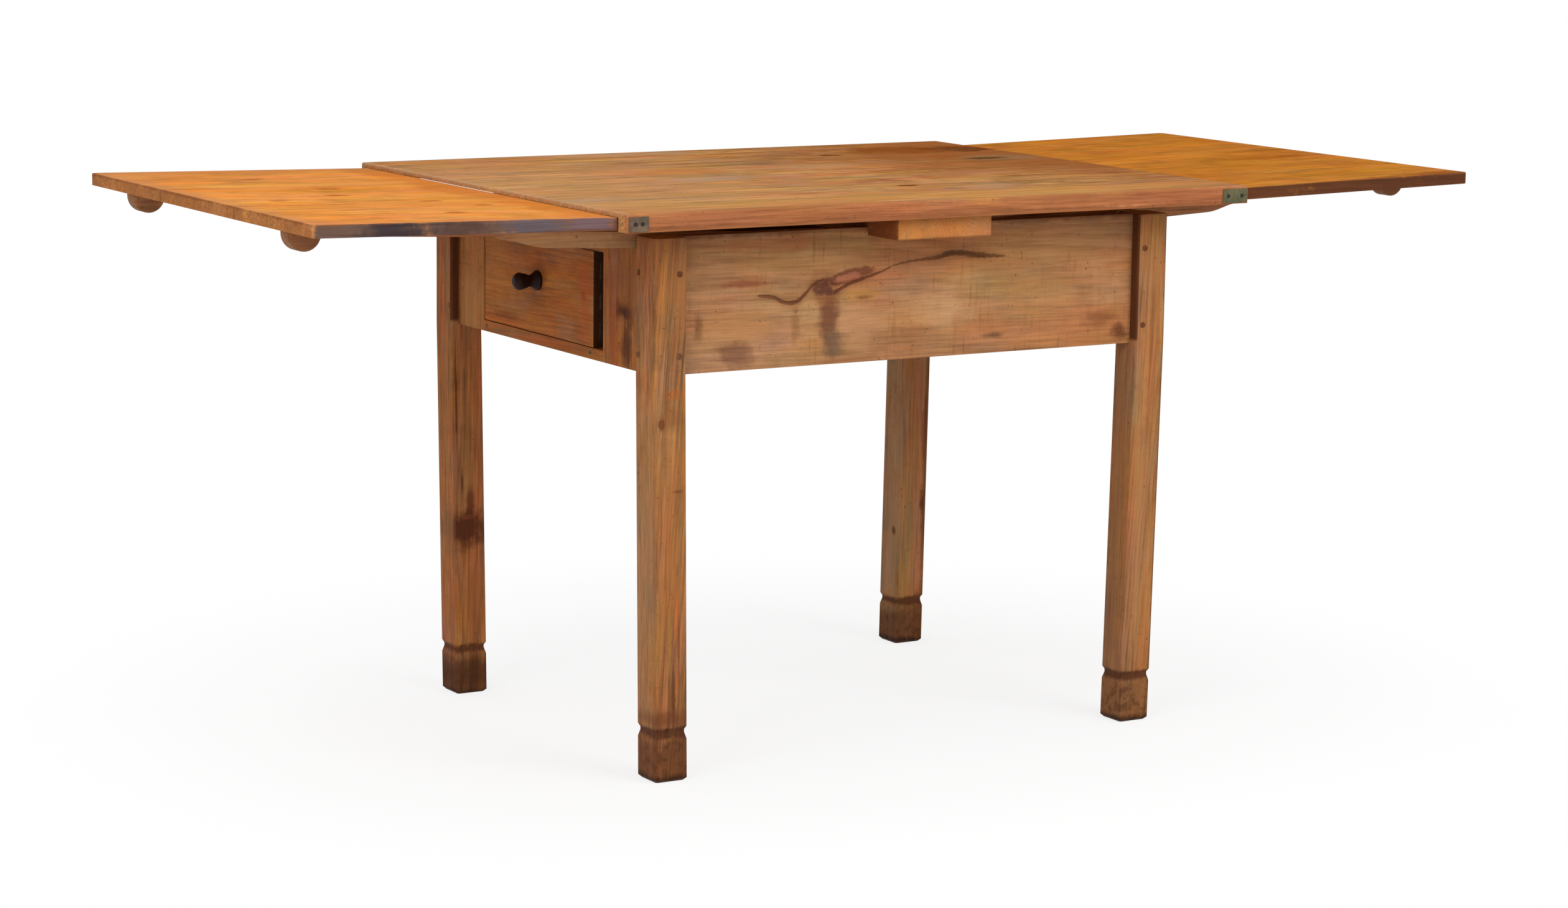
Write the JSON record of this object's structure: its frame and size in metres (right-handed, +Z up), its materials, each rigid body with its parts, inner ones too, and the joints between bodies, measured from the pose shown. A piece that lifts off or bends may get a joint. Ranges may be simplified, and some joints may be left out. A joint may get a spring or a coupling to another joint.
{
  "type": "tavern table",
  "caption": "Old pine farmhouse table with a loose plank top, draw leaves on runners at both ends, a drawer in one end and a pegged frame on square legs with grooved feet",
  "frame": {"origin": "on the floor, in the middle between the four legs", "axes": "+X along the table towards the end without a drawer, +Y from the front to the back, +Z up"},
  "size_m": [1.8076, 0.7934, 0.7617],
  "materials": {
    "top_pine": "old waxed pine, worn",
    "leaf_pine": "old waxed pine, worn",
    "runner_pine": "bare pine, rubbed",
    "frame_pine": "stained pine, rubbed",
    "drawer_pine": "stained pine, rubbed",
    "dark_knob": "turned, near black, satin",
    "old_iron": "dark forged iron"
  },
  "bodies": {
    "frame": {"bearer_nails": "old_iron", "crossboard": "frame_pine", "crossboard_pegs": "frame_pine", "drawer_bearer_front": "drawer_pine", "drawer_bearer_rear": "drawer_pine", "drawer_end_bottom_rail": "frame_pine", "drawer_end_stile_front": "frame_pine", "drawer_end_stile_rear": "frame_pine", "drawer_end_top_rail": "frame_pine", "drawer_guide_front": "drawer_pine", "drawer_guide_rear": "drawer_pine", "front_apron": "frame_pine", "leg_front_left": "frame_pine", "leg_front_right": "frame_pine", "leg_pegs_front_left": "frame_pine", "leg_pegs_front_right": "frame_pine", "leg_pegs_rear_left": "frame_pine", "leg_pegs_rear_right": "frame_pine", "leg_rear_left": "frame_pine", "leg_rear_right": "frame_pine", "rear_apron": "frame_pine", "right_end_board": "frame_pine", "top_locating_pegs": "frame_pine"},
    "top": {"corner_plate_front_left": "old_iron", "corner_plate_front_right": "old_iron", "corner_plate_nails": "old_iron", "corner_plate_rear_left": "old_iron", "corner_plate_rear_right": "old_iron", "top_plank_front": "top_pine", "top_plank_middle_front": "top_pine", "top_plank_middle_rear": "top_pine", "top_plank_rear": "top_pine"},
    "left_leaf": {"left_leaf_board_front": "leaf_pine", "left_leaf_board_middle": "leaf_pine", "left_leaf_board_rear": "leaf_pine", "left_leaf_pegs": "frame_pine", "left_runner_front": "runner_pine", "left_runner_rear": "runner_pine"},
    "right_leaf": {"right_leaf_board_front": "leaf_pine", "right_leaf_board_middle": "leaf_pine", "right_leaf_board_rear": "leaf_pine", "right_leaf_pegs": "frame_pine", "right_runner_front": "runner_pine", "right_runner_rear": "runner_pine"},
    "drawer": {"drawer_back": "drawer_pine", "drawer_bottom": "drawer_pine", "drawer_front": "drawer_pine", "drawer_knob": "dark_knob", "drawer_nails": "old_iron", "drawer_side_front": "drawer_pine", "drawer_side_rear": "drawer_pine"}
  },
  "joints": [
    {"name": "top_lift", "type": "slide", "parent": "frame", "child": "top", "axis": [0, 0, 1], "range_m": [0, 0.06]},
    {"name": "left_leaf_slide", "type": "slide", "parent": "frame", "child": "left_leaf", "axis": [0.9989, 0, -0.0462], "range_m": [0, 0.4092]},
    {"name": "right_leaf_slide", "type": "slide", "parent": "frame", "child": "right_leaf", "axis": [-0.9989, 0, -0.0462], "range_m": [0, 0.4092]},
    {"name": "drawer_slide", "type": "slide", "parent": "frame", "child": "drawer", "axis": [-1, 0, 0], "range_m": [0, 0.38]}
  ]
}
